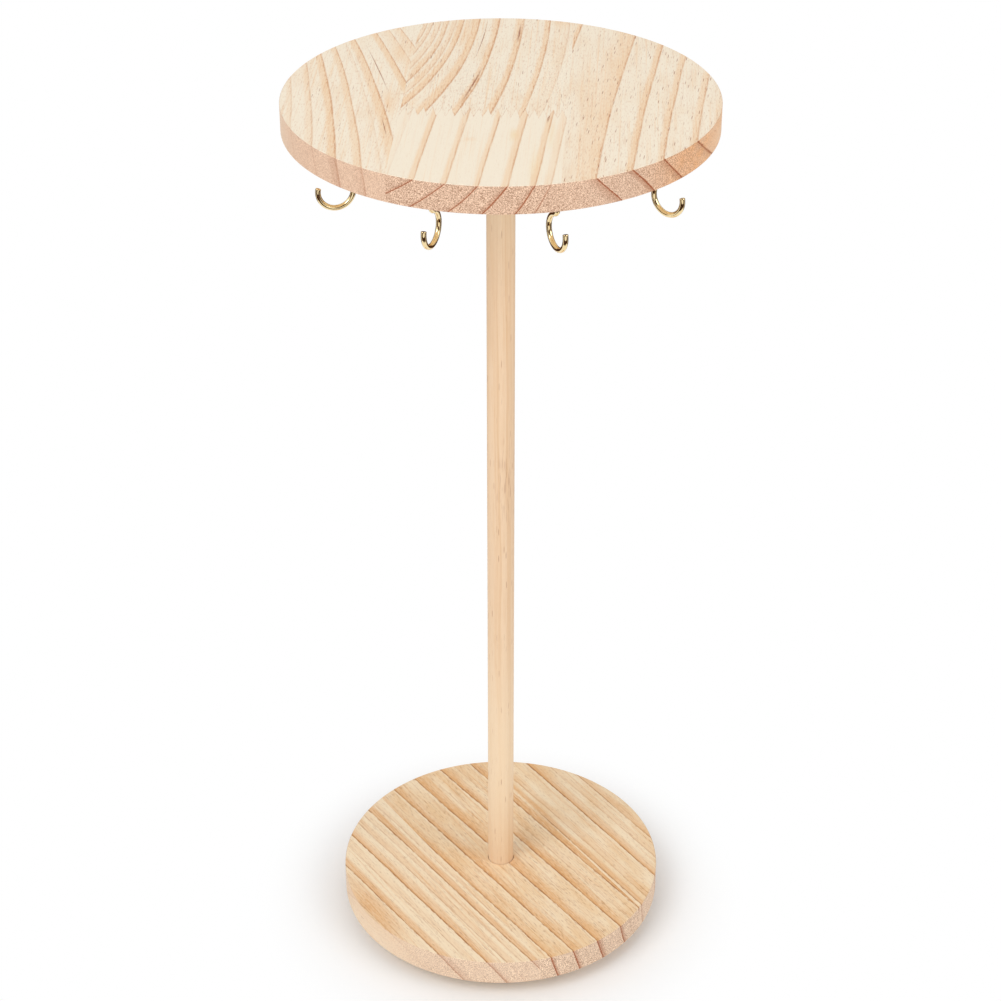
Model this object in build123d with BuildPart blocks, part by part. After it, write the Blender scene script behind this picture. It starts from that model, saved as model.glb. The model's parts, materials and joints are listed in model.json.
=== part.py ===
"""Rotating tower for hanging small things: a round pine top with brass cup hooks, a dowel pole and a
round pine base that turns on a low ball-bearing ring."""

from build123d import *
import math
import os

# Sizes in millimetres. The origin is on the table, under the pole. X is to the right, -Y is the front.

# Round top, glued up from pine boards
top_diameter = 200.0
top_thickness = 13.0
top_board_lean = 2.4           # degrees from the Y axis to the boards' edges, clockwise seen from above
top_left_joint = -44.0         # glue line between the left and the centre board, measured across the boards
top_right_joint = 30.5         # glue line between the centre and the right board
finger_length = 10.0           # finger joint that makes the centre board from two lengths
finger_pitch = 4.1
finger_joint_offset = -20.5    # middle of the finger joint, along the board from the axis

# Round base, glued up the same way
base_diameter = 170.0
base_thickness = 14.0
base_board_lean = -34.0
base_left_joint = -28.3
base_right_joint = 38.7

edge_break = 0.5               # sanded upper edge of both discs

# Pole
pole_diameter = 13.6
pole_length = 438.0
socket_depth = 8.0             # the pole stands this deep in the base
socket_clearance = 0.3         # radial; shows as a fine dark ring round the pole's foot

# Cup hooks
hook_count = 9
hook_inset = 15.0              # from the edge of the top to the screw
hook_wire_diameter = 2.5
hook_bend_radius = 8.0         # centreline of the round of the hook
hook_neck_radius = 3.0         # centreline of the small bend under the collar
hook_centre_drop = 16.0        # from the underside of the top to the middle of the round
hook_tip_angle = 14.0          # the tip ends this far above the middle, in degrees round the bend
hook_collar_diameter = 6.6
hook_collar_thickness = 0.9
neck_run_count = 4             # straight runs that the neck bend is made of
bend_run_count = 16
hook_screw_diameter = 2.6
hook_screw_length = 9.5
hook_point_length = 2.5
first_hook_bearing = 20.0      # degrees from the front towards +X
hook_drift = {1: -3.0, 2: -1.9, 8: -0.5, 9: 0.1}     # degrees that a drilled hole is off the even spacing
hook_stray = {1: 1.2, 2: 2.7, 8: -1.3}               # how far out of the hooks' circle a hole is drilled
hook_twist = {1: 9.2, 2: -9.2, 8: -13.9, 9: -2.1}    # degrees that a hook stops off the radial line

# Blind joint between the pole and the top
insert_diameter = 8.0
insert_length = 9.0
bolt_diameter = 5.0
bolt_grip = 24.0               # length of the hanger bolt in the pole
bolt_point_length = 3.0
bolt_engagement = 7.5          # length of the hanger bolt in the insert nut

# Screw that draws the pole into the base from below
pole_screw_diameter = 4.5
pole_screw_head_diameter = 9.0
pole_screw_length = 38.0
pole_screw_point_length = 4.0
pole_screw_head_sink = 0.3
countersink_angle = 90.0

# Ball-bearing ring under the base
ball_diameter = 4.0
ball_count = 12
ring_setback = 17.0            # from the edge of the base to the bearing's outer flange
race_gap = 2.0                 # between the two rings' walls
race_clearance = 0.12          # between a ball and each side of its V groove
ring_wall = 3.0
ring_height = 7.5
ring_rise = 0.8                # the inner ring stands this much higher than the outer one
inner_flange_width = 9.0
outer_flange_width = 7.0
flange_thickness = 2.0
cage_thickness = 0.7
cage_sides = 48                # flats round the cage
cage_rim = 0.7                 # band of cage left above and below a ball's pocket
pocket_clearance = 0.15

# Screws that hold the inner ring to the base
ring_screw_count = 4
ring_screw_diameter = 3.0
ring_screw_head_diameter = 5.6
ring_screw_length = 10.0
ring_screw_point_length = 2.0
ring_screw_bearing = 45.0

# Rubber pads under the outer ring
pad_count = 6
pad_diameter = 5.6
pad_thickness = 1.5

turned_sides = 8               # small turned pieces have this many flats
screw_tip_share = 0.1          # a screw's point is blunt, this share of the shank across
screw_clearance = 0.05         # radial, between a fastener and its hole
drill_spare = 0.5              # a blind hole goes this much deeper than what it holds

# Heights worked out from the stack
outer_ring_z = pad_thickness
inner_ring_z = outer_ring_z + ring_rise
base_z = inner_ring_z + ring_height
base_face_z = base_z + base_thickness
pole_z = base_face_z - socket_depth
top_z = pole_z + pole_length
top_face_z = top_z + top_thickness
pole_screw_z = base_z + pole_screw_head_sink
ball_z = (outer_ring_z + inner_ring_z + ring_height) / 2

# Radii worked out from the two discs
hook_circle_radius = top_diameter / 2 - hook_inset
outer_flange_outside = base_diameter / 2 - ring_setback
outer_wall_outside = outer_flange_outside - outer_flange_width
outer_wall_inside = outer_wall_outside - ring_wall
ball_circle_radius = outer_wall_inside - race_gap / 2
inner_wall_outside = ball_circle_radius - race_gap / 2
inner_wall_inside = inner_wall_outside - ring_wall
inner_flange_inside = inner_wall_inside - inner_flange_width
race_width = ball_diameter + 2 * race_clearance      # across the square whose corners cut the V grooves
ring_screw_circle = (inner_flange_inside + inner_wall_inside) / 2
pad_circle = (outer_wall_outside + outer_flange_outside) / 2

OUT = "parts"
os.makedirs(OUT, exist_ok=True)


def save(part, label):
    """Labels a finished piece and writes it to its own file."""
    part.label = label
    export_step(part, f"{OUT}/{label}.step")


def turn(plane, *stages, mode=Mode.ADD):
    """Adds a turning with flats to the open part, along the plane's normal, or cuts it out.

    Each stage is its length, its radius at the start and its radius at the end, measured to the corners.
    """
    for length, start, end in stages:
        with BuildSketch(plane) as section:
            RegularPolygon(start, turned_sides)
        slope = math.atan((start - end) * math.cos(math.pi / turned_sides) / length)
        extrude(section.sketch, amount=length, taper=math.degrees(slope), mode=mode)
        plane = plane.offset(length)


def rod(length, radius):
    """Stage of a turning that keeps its radius."""
    return (length, radius, radius)


def hook_bearing(number):
    """Bearing of a hook's hole in degrees from the front towards +X."""
    even = first_hook_bearing + (number - 1) * 360.0 / hook_count
    return even + hook_drift.get(number, 0.0)


def hook_foot(number):
    """Plane on the underside of the top where a hook goes in: z is up and x is the way the hook faces."""
    bearing = math.radians(hook_bearing(number))
    facing = bearing + math.radians(hook_twist.get(number, 0.0))
    reach = hook_circle_radius + hook_stray.get(number, 0.0)
    return Plane(
        origin=(reach * math.sin(bearing), -reach * math.cos(bearing), top_z),
        x_dir=(math.sin(facing), -math.cos(facing), 0),
    )


def ring_screw_seats():
    """Planes on the underside of the inner ring's flange where its screws go in."""
    height = Vector(0, 0, base_z - flange_thickness)
    places = PolarLocations(ring_screw_circle, ring_screw_count, ring_screw_bearing)
    return [Plane(origin=place.position + height) for place in places]


def disc_profile(diameter, thickness):
    """Half section of a round disc with its upper edge broken, drawn from the axis outwards."""
    with BuildSketch(Plane.XZ) as profile:
        with Locations((diameter / 4, thickness / 2)):
            Rectangle(diameter / 2, thickness)
        chamfer(profile.vertices().group_by(Axis.X)[-1].sort_by(Axis.Y)[-1], edge_break)
    return profile.sketch


def strip(inner, outer, reach):
    """Outline of a straight board between two glue lines, reaching past the disc both ways."""
    with BuildSketch() as outline:
        with Locations(((inner + outer) / 2, 0)):
            Rectangle(outer - inner, 2 * reach)
    return outline.sketch


def finger_line():
    """Points of the zigzag that joins the two lengths of the centre board, from left to right."""
    width = top_right_joint - top_left_joint
    fingers = max(1, round(width / finger_pitch))
    step = width / fingers / 2
    tip = finger_length / 2
    return [
        (top_left_joint + step * i, finger_joint_offset + (tip if i % 2 else -tip))
        for i in range(2 * fingers + 1)
    ]


def centre_length(end):
    """Outline of one length of the centre board, from the finger joint out to y = end."""
    with BuildSketch() as outline:
        with BuildLine():
            Polyline(
                *finger_line(),
                (top_right_joint, end),
                (top_left_joint, end),
                close=True,
            )
        make_face()
    return outline.sketch


def top_board(label, outline):
    """One board of the top: its strip of the disc, with the holes that fall in it."""
    with BuildPart() as board:
        add(disc_profile(top_diameter, top_thickness).moved(Location((0, 0, top_z))))
        revolve(axis=Axis.Z)
        with BuildSketch(Plane.XY.offset(top_z).rotated((0, 0, -top_board_lean))):
            add(outline)
        extrude(amount=top_thickness, mode=Mode.INTERSECT)
        for number in range(1, hook_count + 1):
            hole = rod(hook_screw_length + drill_spare, hook_screw_diameter / 2 + screw_clearance)
            turn(hook_foot(number), hole, mode=Mode.SUBTRACT)
        with BuildSketch(Plane.XY.offset(top_z)):
            Circle(insert_diameter / 2 + screw_clearance)
        extrude(amount=insert_length + drill_spare, mode=Mode.SUBTRACT)
    save(board.part, label)


def base_board(label, outline):
    """One board of the base: its strip of the disc, with the pole's socket and the screw holes."""
    with BuildPart() as board:
        add(disc_profile(base_diameter, base_thickness).moved(Location((0, 0, base_z))))
        revolve(axis=Axis.Z)
        with BuildSketch(Plane.XY.offset(base_z).rotated((0, 0, -base_board_lean))):
            add(outline)
        extrude(amount=base_thickness, mode=Mode.INTERSECT)
        with BuildSketch(Plane.XY.offset(pole_z)):
            Circle(pole_diameter / 2 + socket_clearance)
        extrude(amount=socket_depth, mode=Mode.SUBTRACT)
        with Locations(Plane.XY.offset(base_z).rotated((180, 0, 0))):
            CounterSinkHole(
                pole_screw_diameter / 2 + screw_clearance,
                pole_screw_head_diameter / 2 + pole_screw_head_sink,
                base_thickness - socket_depth,
                countersink_angle,
            )
        for seat in ring_screw_seats():
            hole = rod(ring_screw_length + drill_spare, ring_screw_diameter / 2 + screw_clearance)
            turn(seat, hole, mode=Mode.SUBTRACT)
    save(board.part, label)


def head(diameter, head_diameter, clearance=0.0):
    """Stage of a turning for a countersunk head, or for its countersink."""
    depth = (head_diameter - diameter) / 2 / math.tan(math.radians(countersink_angle / 2))
    return (depth, head_diameter / 2 + clearance, diameter / 2 + clearance)


def point(length, radius):
    """Stage of a turning for the blunt point of a screw."""
    return (length, radius, radius * screw_tip_share)


def wood_screw(label, seat, diameter, head_diameter, length, point_length):
    """A countersunk wood screw that goes up from its seat, where its flat head ends."""
    flat_head = head(diameter, head_diameter)
    with BuildPart() as screw:
        turn(
            seat,
            flat_head,
            rod(length - flat_head[0] - point_length, diameter / 2),
            point(point_length, diameter / 2),
        )
    save(screw.part, label)


def arc_points(centre, radius, start, swing, lengths):
    """Points on an arc that divide it into straight lengths, angles in degrees."""
    angles = [math.radians(start + swing * i / lengths) for i in range(lengths + 1)]
    return [(centre[0] + radius * math.cos(a), centre[1] + radius * math.sin(a)) for a in angles]


def hook(number):
    """A brass cup hook: pointed screw, collar, small neck bend and a round that opens outwards."""
    foot = hook_foot(number)
    downwards = Plane(origin=foot.origin, x_dir=foot.x_dir, z_dir=-foot.z_dir)
    # The neck bend and the round touch where the line between their centres crosses them.
    reach_between = hook_bend_radius + hook_neck_radius
    neck_drop = hook_centre_drop - math.sqrt(reach_between**2 - hook_neck_radius**2)
    swing = math.degrees(math.acos(hook_neck_radius / reach_between))
    neck = arc_points((-hook_neck_radius, -neck_drop), hook_neck_radius, 0, -swing, neck_run_count)
    bend = arc_points(
        (0, -hook_centre_drop), hook_bend_radius, 180 - swing, 180 + swing + hook_tip_angle, bend_run_count
    )
    with BuildPart() as piece:
        # In the wire's plane x points outwards and y is up. Its two arcs are bent in straight lengths.
        with BuildLine(Plane(origin=foot.origin, x_dir=foot.x_dir, z_dir=-foot.y_dir)) as wire:
            Polyline((0, 0), *neck, *bend[1:])
        with BuildSketch(downwards):
            RegularPolygon(hook_wire_diameter / 2, turned_sides)
        sweep(path=wire.line, transition=Transition.RIGHT)
        turn(downwards, rod(hook_collar_thickness, hook_collar_diameter / 2))
        turn(
            foot,
            rod(hook_screw_length - hook_point_length, hook_screw_diameter / 2),
            point(hook_point_length, hook_screw_diameter / 2),
        )
    save(piece.part, f"hook_{number}")


# The top's four pieces of board
top_board("top_board_left", strip(-top_diameter, top_left_joint, top_diameter))
top_board("top_board_centre_front", centre_length(-top_diameter))
top_board("top_board_centre_back", centre_length(top_diameter))
top_board("top_board_right", strip(top_right_joint, top_diameter, top_diameter))

# The base's three boards
base_board("base_board_left", strip(-base_diameter, base_left_joint, base_diameter))
base_board("base_board_centre", strip(base_left_joint, base_right_joint, base_diameter))
base_board("base_board_right", strip(base_right_joint, base_diameter, base_diameter))

# The pole: a dowel, drilled at each end for its fastener
with BuildPart() as pole:
    with BuildSketch(Plane.XY.offset(pole_z)):
        Circle(pole_diameter / 2)
    extrude(amount=pole_length)
    with BuildSketch(Plane.XY.offset(top_z)):
        Circle(bolt_diameter / 2 + screw_clearance)
    extrude(amount=-(bolt_grip + drill_spare), mode=Mode.SUBTRACT)
    with BuildSketch(Plane.XY.offset(pole_z)):
        Circle(pole_screw_diameter / 2 + screw_clearance)
    extrude(amount=pole_screw_z + pole_screw_length + drill_spare - pole_z, mode=Mode.SUBTRACT)
save(pole.part, "pole")

# Insert nut sunk in the underside of the top
with BuildPart() as insert_nut:
    turn(Plane.XY.offset(top_z), rod(insert_length, insert_diameter / 2))
    with Locations(Plane.XY.offset(top_z + insert_length)):
        Hole(bolt_diameter / 2 + screw_clearance, insert_length)
save(insert_nut.part, "top_insert_nut")

# Hanger bolt: pointed end down in the pole, plain end up in the insert nut
with BuildPart() as hanger_bolt:
    turn(
        Plane.XY.offset(top_z - bolt_engagement),
        rod(bolt_engagement + bolt_grip - bolt_point_length, bolt_diameter / 2),
        point(bolt_point_length, bolt_diameter / 2),
    )
    mirror(about=Plane.XY.offset(top_z), mode=Mode.REPLACE)
save(hanger_bolt.part, "hanger_bolt")

# Countersunk screw up through the base into the pole
wood_screw(
    "pole_screw",
    Plane.XY.offset(pole_screw_z),
    pole_screw_diameter,
    pole_screw_head_diameter,
    pole_screw_length,
    pole_screw_point_length,
)

# The hooks
for number in range(1, hook_count + 1):
    hook(number)

# Inner ring of the bearing: turns with the base, flange uppermost
with BuildPart() as inner_ring:
    with BuildSketch(Plane.XZ):
        with BuildLine():
            Polyline(
                (inner_flange_inside, base_z),
                (inner_flange_inside, base_z - flange_thickness),
                (inner_wall_inside, base_z - flange_thickness),
                (inner_wall_inside, inner_ring_z),
                (inner_wall_outside, inner_ring_z),
                (inner_wall_outside, base_z),
                close=True,
            )
        make_face()
        with Locations((ball_circle_radius, ball_z)):
            Rectangle(race_width, race_width, rotation=45, mode=Mode.SUBTRACT)
    revolve(axis=Axis.Z)
    for seat in ring_screw_seats():
        countersink = head(ring_screw_diameter, ring_screw_head_diameter, screw_clearance)
        hole = rod(flange_thickness - countersink[0], countersink[2])
        turn(seat, countersink, hole, mode=Mode.SUBTRACT)
save(inner_ring.part, "turntable_inner_ring")

# Outer ring of the bearing: stands still on its pads, flange lowermost
with BuildPart() as outer_ring:
    with BuildSketch(Plane.XZ):
        with BuildLine():
            Polyline(
                (outer_wall_inside, outer_ring_z),
                (outer_flange_outside, outer_ring_z),
                (outer_flange_outside, outer_ring_z + flange_thickness),
                (outer_wall_outside, outer_ring_z + flange_thickness),
                (outer_wall_outside, outer_ring_z + ring_height),
                (outer_wall_inside, outer_ring_z + ring_height),
                close=True,
            )
        make_face()
        with Locations((ball_circle_radius, ball_z)):
            Rectangle(race_width, race_width, rotation=45, mode=Mode.SUBTRACT)
    revolve(axis=Axis.Z)
save(outer_ring.part, "turntable_outer_ring")

# Cage: a thin comb-like band, slotted from above for each ball
with BuildPart() as cage:
    pocket_width = ball_diameter + 2 * pocket_clearance
    cage_bottom = ball_z - pocket_width / 2 - cage_rim
    with BuildSketch(Plane.XY.offset(cage_bottom)):
        RegularPolygon(ball_circle_radius + cage_thickness / 2, cage_sides)
        RegularPolygon(ball_circle_radius - cage_thickness / 2, cage_sides, mode=Mode.SUBTRACT)
    extrude(amount=cage_rim + pocket_width)
    with BuildSketch(Plane.XY.offset(ball_z - pocket_width / 2)):
        with PolarLocations(ball_circle_radius, ball_count):
            Rectangle(2 * cage_thickness, pocket_width)
    extrude(amount=pocket_width, mode=Mode.SUBTRACT)
save(cage.part, "ball_cage")

# Balls: turned with flats, the upper halves first
with BuildPart() as balls:
    waist = ball_diameter / 2 * math.cos(math.pi / turned_sides)
    crown = ball_diameter / 2 * math.sin(math.pi / turned_sides)
    for place in PolarLocations(ball_circle_radius, ball_count):
        middle = Plane(origin=place.position + Vector(0, 0, ball_z))
        turn(middle, rod(crown, waist), (waist - crown, waist, crown))
    mirror(about=Plane.XY.offset(ball_z))
save(balls.part, "bearing_balls")

# Countersunk screws through the inner ring into the base
for index, seat in enumerate(ring_screw_seats()):
    wood_screw(
        f"ring_screw_{index + 1}",
        seat,
        ring_screw_diameter,
        ring_screw_head_diameter,
        ring_screw_length,
        ring_screw_point_length,
    )

# Rubber pads
for index, place in enumerate(PolarLocations(pad_circle, pad_count)):
    with BuildPart() as pad:
        turn(Plane(origin=place.position), rod(pad_thickness, pad_diameter / 2))
    save(pad.part, f"rubber_pad_{index + 1}")
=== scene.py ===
"""Finishes the rotating jewelry tower: sanded pine boards with growth rings running through them, polished
brass cup hooks, and the ball-bearing ring and rubber pads that it turns and stands on."""

import json
import math
from dataclasses import dataclass

import bmesh
import bpy
from bmesh.types import BMEdge, BMVert
from mathutils import Matrix, Vector


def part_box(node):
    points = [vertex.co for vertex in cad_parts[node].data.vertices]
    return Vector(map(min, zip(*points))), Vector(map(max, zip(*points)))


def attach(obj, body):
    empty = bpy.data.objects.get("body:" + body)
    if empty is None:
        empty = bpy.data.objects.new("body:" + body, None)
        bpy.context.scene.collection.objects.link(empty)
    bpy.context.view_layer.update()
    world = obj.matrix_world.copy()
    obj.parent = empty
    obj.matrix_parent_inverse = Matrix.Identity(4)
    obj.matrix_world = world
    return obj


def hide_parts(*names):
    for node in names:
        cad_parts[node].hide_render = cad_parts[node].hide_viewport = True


bl_info = {
    "name": "Rotating Jewelry Tower",
    "version": (1, 0, 0),
    "blender": (4, 5, 0),
    "location": "3D View > Sidebar > Tower",
    "description": "Finishes a turning pine tower with cup hooks and sets it on a pale floor",
    "category": "Object",
}

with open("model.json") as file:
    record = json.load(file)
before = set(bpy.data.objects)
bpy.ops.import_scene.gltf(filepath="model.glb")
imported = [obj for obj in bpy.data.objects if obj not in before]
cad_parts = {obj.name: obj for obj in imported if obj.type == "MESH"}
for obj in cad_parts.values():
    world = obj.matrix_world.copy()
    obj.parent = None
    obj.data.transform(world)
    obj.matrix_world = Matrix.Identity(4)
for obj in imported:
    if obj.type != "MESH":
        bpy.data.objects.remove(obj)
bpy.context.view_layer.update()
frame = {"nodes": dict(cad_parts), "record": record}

MM = 0.001
TOWER = "tower"
STAND = "stand"
CARRIER = "ball_carrier"

TOP_BOARDS = ("top_board_left", "top_board_centre_front", "top_board_centre_back", "top_board_right")
BASE_BOARDS = ("base_board_left", "base_board_centre", "base_board_right")


def nodes_named(start):
    """Names of the CAD nodes that begin so, in order."""
    return sorted(name for name in frame["nodes"] if name.startswith(start))


def box_of(*names):
    """Lowest and highest corner round several CAD nodes."""
    boxes = [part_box(name) for name in names]
    low = Vector([min(corners) for corners in zip(*(box[0] for box in boxes))])
    high = Vector([max(corners) for corners in zip(*(box[1] for box in boxes))])
    return low, high


TOP_LOW, TOP_HIGH = box_of(*TOP_BOARDS)
BASE_LOW, BASE_HIGH = box_of(*BASE_BOARDS)
TOP_RADIUS = (TOP_HIGH.x - TOP_LOW.x) / 2 / MM
BASE_RADIUS = (BASE_HIGH.x - BASE_LOW.x) / 2 / MM

# How far the grain of each disc is turned from the front
TOP_GRAIN_TURN = math.radians(2.4)
BASE_GRAIN_TURN = math.radians(-34.0)


def swatch(red, green, blue):
    """A colour as read off a screen, 0 to 255, as the linear colour that Blender works in."""
    shares = [value / 255 for value in (red, green, blue)]
    return tuple(s / 12.92 if s <= 0.04045 else ((s + 0.055) / 1.055) ** 2.4 for s in shares)


def colour(name, description, red, green, blue):
    """A colour property, with its default as read off a screen."""
    return bpy.props.FloatVectorProperty(
        name=name, description=description, subtype="COLOR", size=3, min=0.0, max=1.0,
        default=swatch(red, green, blue),
    )


def number(name, description, default, **kind):
    """A number property, plain or of the kind given."""
    return bpy.props.FloatProperty(name=name, description=description, default=default, **kind)


def length(name, description, millimetres):
    """A length property, given in millimetres and kept in metres."""
    kind = {"subtype": "DISTANCE", "unit": "LENGTH", "min": 0.0, "precision": 5}
    return number(name, description, millimetres * MM, **kind)


class TowerPine(bpy.types.PropertyGroup):
    """Colours of the pine"""

    top_pale: colour("Top, early wood", "Pale wood between the rings of the top", 249, 236, 214)
    top_warm: colour("Top, warm", "Warmer early wood of the top", 244, 223, 195)
    top_late: colour("Top, late wood", "Tan bands of the top", 243, 204, 159)
    top_line: colour("Top, ring edge", "Sharp edge of a band of the top", 204, 146, 102)
    # Also the colour of the painted light on the pole, low down and near its top
    base_pale: colour("Base, early wood", "Pale wood between the rings of the base", 250, 228, 195)
    base_warm: colour("Base, warm", "Warmer early wood of the base", 240, 202, 154)
    base_late: colour("Base, late wood", "Yellow-orange bands of the base", 228, 168, 102)
    base_line: colour("Base, ring edge", "Sharp edge of a band of the base", 160, 97, 50)
    honey: colour("Honey", "Yellow patches beside the bands", 244, 214, 163)
    pole_pale: colour("Pole, early wood", "Pale wood of the pole", 241, 210, 176)
    pole_late: colour("Pole, late wood", "Faint bands of the pole", 226, 182, 135)
    top_end: colour("Top, end grain", "Rim of the top where the boards' ends are cut", 236, 202, 174)
    base_end: colour("Base, end grain", "Rim of the base where the boards' ends are cut", 243, 216, 188)
    end_late: colour("End grain, late wood", "Specks and bands in the cut ends", 180, 116, 76)
    end_line: colour("End grain, ring edge", "Sharp edge of a band in the cut ends", 164, 82, 32)
    end_glow: colour("End grain, orange", "Orange tinge of some cut ends", 252, 186, 124)
    resin: colour("Resin", "Ducts and streaks of resin", 150, 70, 10)


class TowerHooks(bpy.types.PropertyGroup):
    """Sizes and colour of the cup hooks"""

    wire_diameter: length("Wire", "Diameter of the hook's wire", 2.5)
    bend_radius: length("Round", "Radius of the round of the hook, at the middle of the wire", 8.0)
    neck_radius: length("Neck", "Radius of the small bend under the collar", 3.0)
    centre_drop: length("Drop", "From the underside of the top to the middle of the round", 16.0)
    collar_diameter: length("Collar", "Diameter of the collar", 6.6)
    collar_thickness: length("Collar thickness", "Thickness of the collar", 0.9)
    screw_diameter: length("Screw", "Diameter of the screw end", 2.6)
    screw_length: length("Screw length", "Length of the screw end", 9.5)
    tip_angle: number(
        "Tip", "How far round the bend the tip ends above the middle", math.radians(14.0), subtype="ANGLE"
    )
    brass: colour("Brass", "Polished brass", 246, 222, 172)


class TowerTurntable(bpy.types.PropertyGroup):
    """Sizes and colours of the bearing, its pads and the screws"""

    ball_diameter: length("Ball", "Diameter of a bearing ball", 4.0)
    recess_width: length("Recess", "Width of an arm of the screws' cross recess", 0.9)
    pad_edge: length("Pad edge", "Rounding of the rubber pads' edges", 0.35)
    aluminium: colour("Aluminium", "Rings of the bearing", 206, 208, 211)
    steel: colour("Steel", "Zinc-plated screws and bolt", 190, 190, 192)
    zinc_film: colour("Zinc film", "Yellowish film here and there on the plating", 214, 200, 168)
    ball_steel: colour("Balls", "Polished steel of the balls", 205, 206, 209)
    nylon: colour("Cage", "Moulded nylon of the cage", 222, 218, 206)
    rubber: colour("Rubber", "Rubber of the pads", 44, 44, 46)


class TowerStage(bpy.types.PropertyGroup):
    """Floor, light and camera"""

    floor: colour("Floor", "Pale floor", 254, 254, 254)
    card: colour("Cards", "Dark cards that the polished metal reflects", 74, 42, 14)
    sky: number("Sky", "Strength of the even light from all round", 0.62, min=0.0)
    key: number("Key", "Power of the large lamp at the front left", 26.0, min=0.0, subtype="POWER")
    fill: number("Fill", "Power of the lamp at the front right", 12.0, min=0.0, subtype="POWER")
    lens: number("Lens", "Focal length of the camera", 86.59, min=1.0, subtype="DISTANCE_CAMERA")
    tilt: number("Tilt", "How far the camera looks down", 0.5483, subtype="ANGLE")
    turn: number("Turn", "How far the camera looks to its left", 0.0126, subtype="ANGLE")


class Reading:
    """A number that varies over a surface. Sums with it add Math nodes to its tree."""

    def __init__(self, tree, socket):
        self.tree = tree
        self.socket = socket

    def __add__(self, other):
        return self.tree.maths("ADD", self, other)

    def __sub__(self, other):
        return self.tree.maths("SUBTRACT", self, other)

    def __rsub__(self, other):
        return self.tree.maths("SUBTRACT", other, self)

    def __mul__(self, other):
        return self.tree.maths("MULTIPLY", self, other)

    def __truediv__(self, other):
        return self.tree.maths("DIVIDE", self, other)

    __radd__ = __add__
    __rmul__ = __mul__


class NodeTree:
    """The nodes of a material or of the sky, under construction."""

    def __init__(self, owner):
        owner.use_nodes = True
        self.nodes, self.links = owner.node_tree.nodes, owner.node_tree.links
        self.nodes.clear()

    def node(self, kind, inputs, stops=(), **settings):
        """Adds a node: first its settings, then its ramp's stops, then its sockets by name or number."""
        made = self.nodes.new(kind)
        for name, value in settings.items():
            setattr(made, name, value)
        for index, (position, shade) in enumerate(stops):
            elements = made.color_ramp.elements
            stop = elements[index] if index < 2 else elements.new(position)
            stop.position = position
            stop.color = shade
        for key, value in inputs.items():
            if isinstance(value, Reading):
                value = value.socket
            if isinstance(value, bpy.types.NodeSocket):
                self.links.new(value, made.inputs[key])
            else:
                made.inputs[key].default_value = value
        return made

    def maths(self, operation, *values):
        """One step of arithmetic on numbers."""
        made = self.node("ShaderNodeMath", dict(enumerate(values)), operation=operation)
        return Reading(self, made.outputs[0])

    def most(self, first, *others):
        """The largest of some numbers."""
        for other in others:
            first = self.maths("MAXIMUM", first, other)
        return first

    def looked_at(self):
        """1 where the camera looks, straight or by way of metal or glass, and 0 where light is gathered."""
        rays = self.node("ShaderNodeLightPath", {}).outputs
        names = ("Is Camera Ray", "Is Glossy Ray", "Is Transmission Ray")
        return self.most(*(Reading(self, rays[name]) for name in names))


class Finish(NodeTree):
    """A material under construction. Its place is where a point is on the piece, in millimetres."""

    def __init__(self, name):
        self.material = bpy.data.materials.new(name)
        super().__init__(self.material)
        here = self.node("ShaderNodeTexCoord", {}).outputs["Object"]
        large = self.node("ShaderNodeVectorMath", {0: here, "Scale": 1 / MM}, operation="SCALE").outputs[0]
        parts = self.node("ShaderNodeSeparateXYZ", {0: large}).outputs
        self.place = self.ways = [Reading(self, part) for part in parts]

    def rise(self, value, start, end):
        """0 where the value is at start and 1 where it is at end, with a smooth slope between."""
        sockets = {"Value": value, "From Min": start, "From Max": end}
        made = self.node("ShaderNodeMapRange", sockets, interpolation_type="SMOOTHSTEP")
        return Reading(self, made.outputs[0])

    def near(self, value, middle, reach):
        """1 at the middle, falling to 0 at reach from it on either side."""
        return self.rise(self.maths("ABSOLUTE", value - middle), reach, 0.0)

    def from_axis(self):
        """How far out a point is from the pole's axis."""
        x, y, _ = self.place
        return self.maths("SQRT", x * x + y * y)

    def point(self, x, y, z):
        """Three numbers as a vector."""
        return self.node("ShaderNodeCombineXYZ", {0: x, 1: y, 2: z}).outputs[0]

    def noise(self, x, y, z, detail=2.0, roughness=0.5):
        """Soft noise from about 0 to 1."""
        sockets = {"Vector": self.point(x, y, z), "Scale": 1.0, "Detail": detail, "Roughness": roughness}
        return Reading(self, self.node("ShaderNodeTexNoise", sockets).outputs[0])

    def grain(self, across, along, down, *texture):
        """Noise over the piece, from how fine it is each way."""
        wide, long, deep = self.ways
        return self.noise(wide * across, long * along, deep * down, *texture)

    def split(self, colour_socket):
        """The red, green and blue of a colour, as three numbers."""
        parts = self.node("ShaderNodeSeparateColor", {0: colour_socket}).outputs
        return [Reading(self, part) for part in parts]

    def tint(self, under, over, amount):
        """One colour laid over another by an amount."""
        sockets = {0: amount, 6: under, 7: over}
        return self.node("ShaderNodeMix", sockets, data_type="RGBA", blend_type="MIX").outputs[2]

    def shade(self, under, strength):
        """A colour made lighter or darker by a number near 1."""
        sockets = {0: 1.0, 6: under, 7: strength}
        return self.node("ShaderNodeMix", sockets, data_type="RGBA", blend_type="MULTIPLY").outputs[2]

    def bump(self, height, strength, depth):
        """Small relief, its depth in millimetres."""
        sockets = {"Height": height, "Strength": strength, "Distance": depth * MM}
        return self.node("ShaderNodeBump", sockets).outputs[0]

    def surface(self, **sockets):
        """Ends the material in a Principled shader, with sockets named in words joined by underscores."""
        named = {key.replace("_", " ").title(): value for key, value in sockets.items()}
        shader = self.node("ShaderNodeBsdfPrincipled", named)
        self.node("ShaderNodeOutputMaterial", {"Surface": shader.outputs[0]})
        return self.material


def solid(rgb):
    """A colour property as a socket takes it."""
    return (*rgb, 1.0)


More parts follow.
